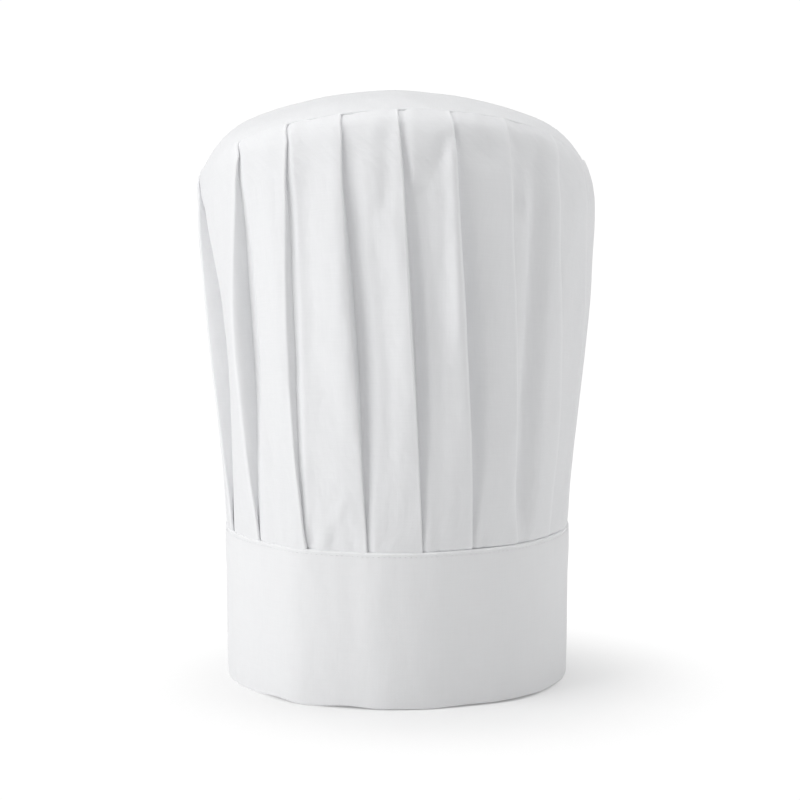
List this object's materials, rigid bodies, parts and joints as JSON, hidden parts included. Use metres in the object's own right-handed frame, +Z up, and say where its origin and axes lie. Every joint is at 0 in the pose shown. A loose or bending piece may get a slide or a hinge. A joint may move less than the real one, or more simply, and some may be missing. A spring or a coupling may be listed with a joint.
{
  "type": "chef hat",
  "caption": "Tall white cloth chef hat with knife pleats that open midway up, a deep plain headband and a domed top panel, open below for the head.",
  "frame": {"origin": "middle of the headband's foot, on the surface that the hat stands on", "axes": "+Z up through the crown, -Y to the front of the hat, +X to the right of someone facing its front"},
  "size_m": [0.2168, 0.2189, 0.3222],
  "materials": {
    "band_cloth": "matte white cotton twill, folded double over a stiff interlining",
    "crown_cloth": "matte white pressed cotton",
    "top_cloth": "matte white pressed cotton"
  },
  "bodies": {
    "root": {"band": "band_cloth", "crown": "crown_cloth", "top_panel": "top_cloth"}
  },
  "joints": []
}
